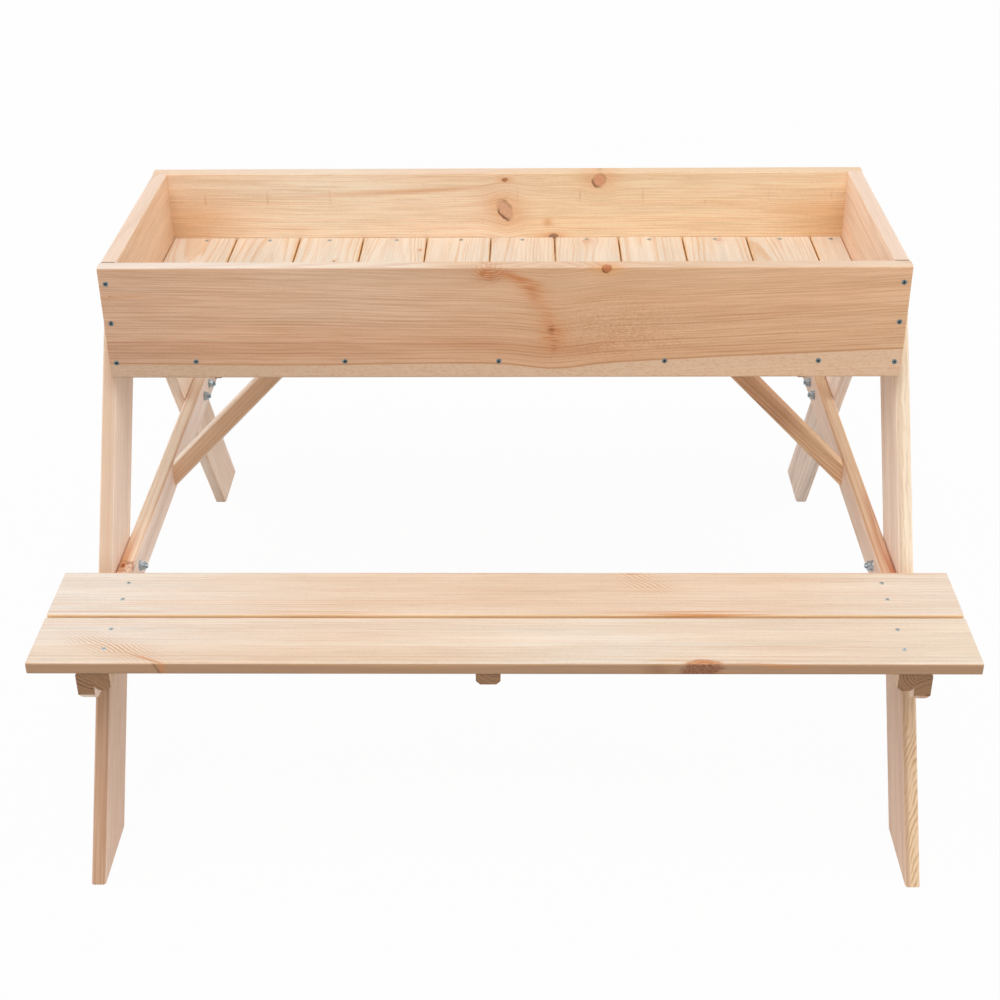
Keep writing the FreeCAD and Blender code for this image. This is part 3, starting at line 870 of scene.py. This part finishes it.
def model_screw_head(radius, flat_zinc, recess_zinc):
    """Countersunk head with its cross recess in a darker second material as painted shade, its flat a little
    above the wood at height 0.
    """
    head = cylinder(20, radius, HEAD_HEIGHT, (0, 0, HEAD_MIDDLE))
    pick_faces(head, lambda normal, centre: normal.z > 0.9)
    bpy.ops.mesh.inset(thickness=HEAD_RIM * MM, depth=HEAD_CROWN * MM)
    begin()
    length, middle = CROSS_LENGTH_SHARE * radius, (0, 0, CUT_MIDDLE)
    for size in ((length, CROSS_WIDTH, CUT_HEIGHT), (CROSS_WIDTH, length, CUT_HEIGHT)):
        cut_with(head, bar(size, middle), "DIFFERENCE")
    cut_with(head, cylinder(16, HUB_SHARE * radius, CUT_HEIGHT, middle), "DIFFERENCE")
    close_up(head)
    head.data.materials.append(flat_zinc)
    head.data.materials.append(recess_zinc)
    # Painted shade: the faces deep in the cross recess take the darker second material.
    for face in head.data.polygons:
        in_recess = face.center.z > 0 and face.center.xy.length < RECESS_SHARE * radius * MM
        face.material_index = int(in_recess and face.center.z < RECESS_TOP * MM)
    return head


def model_nut():
    """Hexagon nut on Z that stands on height 0, its corners turned off and its bore clear of the shank."""
    middle = (0, 0, NUT_HEIGHT / 2)
    nut = cylinder(6, NUT_ACROSS / math.sqrt(3), NUT_HEIGHT, middle)
    blank = cylinder(48, NUT_TURNED_RADIUS, NUT_HEIGHT, middle)
    pick_faces(blank, lambda normal, centre: abs(normal.z) > 0.9)
    bpy.ops.mesh.bevel(offset=NUT_CORNER * MM, segments=1, affect="EDGES")
    begin()
    cut_with(nut, blank, "INTERSECT")
    cut_with(nut, cylinder(32, NUT_BORE_RADIUS, NUT_BORE_CUT, middle), "DIFFERENCE")
    close_up(nut)
    return nut


def model_bolt():
    """Carriage bolt down -Z from the seat of its domed head at height 0, with a turned end and a thread."""
    begin()
    bpy.ops.mesh.primitive_uv_sphere_add(segments=40, ring_count=28, radius=DOME_RADIUS * MM,
                                         location=(0, 0, -DOME_DROP * MM))
    bolt = settle()
    bpy.ops.object.mode_set(mode="EDIT")
    bpy.ops.mesh.select_all(action="SELECT")
    bpy.ops.mesh.bisect(plane_co=(0, 0, DOME_RIM * MM), plane_no=(0, 0, 1), use_fill=True, clear_inner=True)
    for inset, length in ((0.0, DOME_RIM), (SHANK_INSET, SHANK_LENGTH), (TIP_INSET, TIP_LENGTH)):
        pick_faces(bolt, lambda normal, centre: normal.z < -0.9 and centre.xy.length < 0.1 * MM)
        if inset:
            bpy.ops.mesh.inset(thickness=inset * MM)
        bpy.ops.mesh.extrude_region_move(TRANSFORM_OT_translate={"value": (0, 0, -length * MM)})
    close_up(bolt)
    model_thread()
    bolt.select_set(True)
    bpy.context.view_layer.objects.active = bolt
    bpy.ops.object.join()
    return bolt


def model_thread():
    """A ridge wound round the lower end of the bolt's shank, left selected."""
    begin()
    bpy.ops.mesh.primitive_circle_add(vertices=3, radius=RIDGE_RADIUS * MM, fill_type="NOTHING",
                                      location=(THREAD_RADIUS * MM, 0, -SHANK_LENGTH * MM),
                                      rotation=(math.radians(90), 0, 0))
    thread = settle()
    winding = thread.modifiers.new("winding", "SCREW")
    winding.axis, winding.screw_offset, winding.iterations = "Z", THREAD_PITCH * MM, THREAD_TURNS
    winding.steps = winding.render_steps = THREAD_STEPS
    bpy.ops.object.modifier_apply(modifier=winding.name)
    bpy.ops.object.mode_set(mode="EDIT")
    bpy.ops.mesh.select_all(action="SELECT")
    bpy.ops.mesh.fill_holes(sides=4)
    close_up(thread)


def screw_places(points, direction, chance):
    """Places for screws that point one way, each turned as it came to rest."""
    return [(point, direction, chance.uniform(0, math.pi)) for point in points]


def tray_screws(head, floor_head, chance):
    """Heads in the long boards, at their ends and along their foot, and in the floor over each batten."""
    for way, name in ROWS.items():
        board = "tray_%s_board" % name
        low, high = edges(board)
        face = outer(board, 1, way)
        points = [(side * (high.x - TRAY_END_INSET), face, high.z - drop)
                  for side in SIDES for drop in TRAY_END_DROPS]
        points += [(-way * x, face, low.z + TRAY_FOOT_RISE) for x in TRAY_FOOT_SCREWS]
        set_out(head, name + "_board_screws", screw_places(points, way * Y, chance))
    top = outer("floor_board_01", 2, 1)
    battens = [middle_of("floor_%s_batten" % name).y for name in ("front", "middle", "back")]
    points = [(x, y, top) for x in FLOOR_SCREWS for y in battens]
    set_out(floor_head, "floor_screws", screw_places(points, Z, chance))


def bench_screws(head, chance):
    """Heads in the seat boards over the end cleats, and under the middle cleats."""
    for way, name in ROWS.items():
        ys = [way * (abs(middle_of("%s_bench_%s_board" % (name, board)).y) + step)
              for board, steps in SEAT_SCREWS.items() for step in steps]
        xs = [middle_of("%s_bench_%s_cleat" % (name, side)).x for side in SIDES.values()]
        top = outer(name + "_bench_outer_board", 2, 1)
        tops = [(x, y, top) for x in xs for y in ys]
        set_out(head, name + "_bench_screws", screw_places(tops, Z, chance))
        cleat = name + "_bench_middle_cleat"
        under = [(middle_of(cleat).x, y, outer(cleat, 2, -1)) for y in ys]
        set_out(head, name + "_cleat_screws", screw_places(under, -Z, chance))


def frame_screws(head, chance):
    """Heads in the upper ends of the legs, in the end cleats and under the right brace."""
    for side, name in SIDES.items():
        face = outer(name + "_front_leg", 0, side)
        tops = [(face, way * y, z) for way in ROWS for y, z in LEG_SCREWS]
        set_out(head, name + "_leg_screws", screw_places(tops, side * X, chance))
        points = []
        for row in ROWS.values():
            cleat = "%s_bench_%s_cleat" % (row, name)
            middle = middle_of(cleat)
            for step in (-CLEAT_SCREW_SPREAD, CLEAT_SCREW_SPREAD):
                points.append((outer(cleat, 0, -side), middle.y + step, middle.z))
        set_out(head, name + "_crossbar_screws", screw_places(points, -side * X, chance))
    lower_face = Vector((-math.sin(BRACE_RISE), 0, -math.cos(BRACE_RISE)))
    set_out(head, "right_brace_screw", screw_places([BRACE_SCREW], lower_face, chance))


def crossing_bolts(chance):
    """Bolts and nuts at the four crossings of the legs and crossbars."""
    far = outer("carriage_bolts", 1, 1) - BOLT_HEAD_RADIUS
    height = middle_of("carriage_bolts").z
    bolts, nuts = [], []
    for side, name in SIDES.items():
        head_seat, nut_seat = outer(name + "_front_leg", 0, side), outer("bolt_nuts", 0, side)
        for y in (-far, BOLT_SPACING - far, far - BOLT_SPACING, far):
            bolts.append(((head_seat, y, height), side * X, chance.uniform(0, math.tau)))
            nuts.append(((nut_seat, y, height), -side * X, chance.uniform(0, math.tau)))
    bolt, nut = model_bolt(), model_nut()
    pieces = [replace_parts(set_out(bolt, "domed_bolts", bolts), "carriage_bolts"),
              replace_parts(set_out(nut, "chamfered_nuts", nuts), "bolt_nuts")]
    bpy.data.objects.remove(bolt)
    bpy.data.objects.remove(nut)
    return pieces


def fit_fasteners():
    """Every screw, bolt and nut with its zinc."""
    chance = random.Random(5)
    # Tray and frame screws: the zinc painted darker for dim reflections.
    tray_head = model_screw_head(TRAY_HEAD_RADIUS, zinc("tray_screw_painted_dim_zinc", *ZINC_PAINTED_DIM),
                                 zinc("tray_recess_painted_shade", *DARK_RECESS_PAINTED_SHADE))
    # Floor and seat screws: the same zinc painted paler, a painted reflection of the light above.
    zinc_with_painted_sheen = zinc("zinc_with_painted_sheen", *ZINC_PAINTED_PALE)
    pale_recess = zinc("pale_recess_painted_shade", *PALE_RECESS_PAINTED_SHADE)
    floor_head = model_screw_head(TRAY_HEAD_RADIUS, zinc_with_painted_sheen, pale_recess)
    seat_head = model_screw_head(SEAT_HEAD_RADIUS, zinc_with_painted_sheen, pale_recess)
    tray_screws(tray_head, floor_head, chance)
    frame_screws(tray_head, chance)
    bench_screws(seat_head, chance)
    bolt_zinc = zinc("bolt_zinc", *BOLT_ZINC)
    for piece in crossing_bolts(chance) + [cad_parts["bolt_washers"]]:
        set_material(piece, bolt_zinc)
    for head in (tray_head, floor_head, seat_head):
        bpy.data.objects.remove(head)


# Floor, light and camera

FLOOR_SIZE = 30.0
FLOOR_DROP = 0.3 * MM
ROOM_LIGHT = 0.28
LAMP_SPREAD = math.radians(50)

# Each lamp's power, its tilt from straight down and its heading, in degrees.
LAMPS = {"high_lamp": (1.75, 28, 0), "left_lamp": (1.65, 77, -92), "right_lamp": (1.65, 77, 92)}

CAMERA_PLACE = (0.0250, -1.8523, 1.3008)
CAMERA_PITCH, CAMERA_YAW, CAMERA_ROLL = (math.radians(angle) for angle in (30.184, 1.060, 0.562))
CAMERA_LENS, CAMERA_SENSOR = 58.885, 36.0


def lay_floor():
    """A broad pale floor just under the feet."""
    begin()
    bpy.ops.mesh.primitive_plane_add(size=FLOOR_SIZE, location=(0, 0, -FLOOR_DROP))
    floor = settle()
    floor.name = floor.data.name = "floor"
    set_material(floor, floor_paint())


def light_up():
    """An even white room, a broad lamp high in front and a low one on each side."""
    world = bpy.data.worlds.new("white_room")
    bpy.context.scene.world = world
    world.use_nodes = True
    world.node_tree.nodes.clear()
    start = Flow(world.node_tree)
    strength = seen_rays(start) * (1.0 - ROOM_LIGHT) + ROOM_LIGHT
    room = start.node("ShaderNodeBackground", {}, {"Color": WHITE, "Strength": strength})
    room.node("ShaderNodeOutputWorld", {}, {"Surface": room})
    for name, (power, tilt, heading) in LAMPS.items():
        lamp = bpy.data.lights.new(name, "SUN")
        lamp.energy = power
        lamp.angle = LAMP_SPREAD
        holder = bpy.data.objects.new(name, lamp)
        holder.rotation_euler = (math.radians(tilt), 0, math.radians(heading))
        bpy.context.scene.collection.objects.link(holder)


def set_camera():
    """The photograph's place, direction and lens."""
    turn = Matrix.Rotation(CAMERA_YAW, 3, "Z")
    ahead = turn @ Vector((0, math.cos(CAMERA_PITCH), -math.sin(CAMERA_PITCH)))
    right = turn @ X
    down = turn @ Vector((0, -math.sin(CAMERA_PITCH), -math.cos(CAMERA_PITCH)))
    image_right = right * math.cos(CAMERA_ROLL) + down * math.sin(CAMERA_ROLL)
    image_down = down * math.cos(CAMERA_ROLL) - right * math.sin(CAMERA_ROLL)
    data = bpy.data.cameras.new("camera")
    data.sensor_width, data.lens = CAMERA_SENSOR, CAMERA_LENS
    camera = bpy.data.objects.new("camera", data)
    aim = Matrix((image_right, -image_down, -ahead)).transposed().to_4x4()
    camera.matrix_world = Matrix.Translation(CAMERA_PLACE) @ aim
    bpy.context.scene.collection.objects.link(camera)
    bpy.context.scene.camera = camera


set_camera()
dress_boards()
fit_fasteners()
lay_floor()
light_up()
bpy.context.scene.view_settings.view_transform = "Standard"
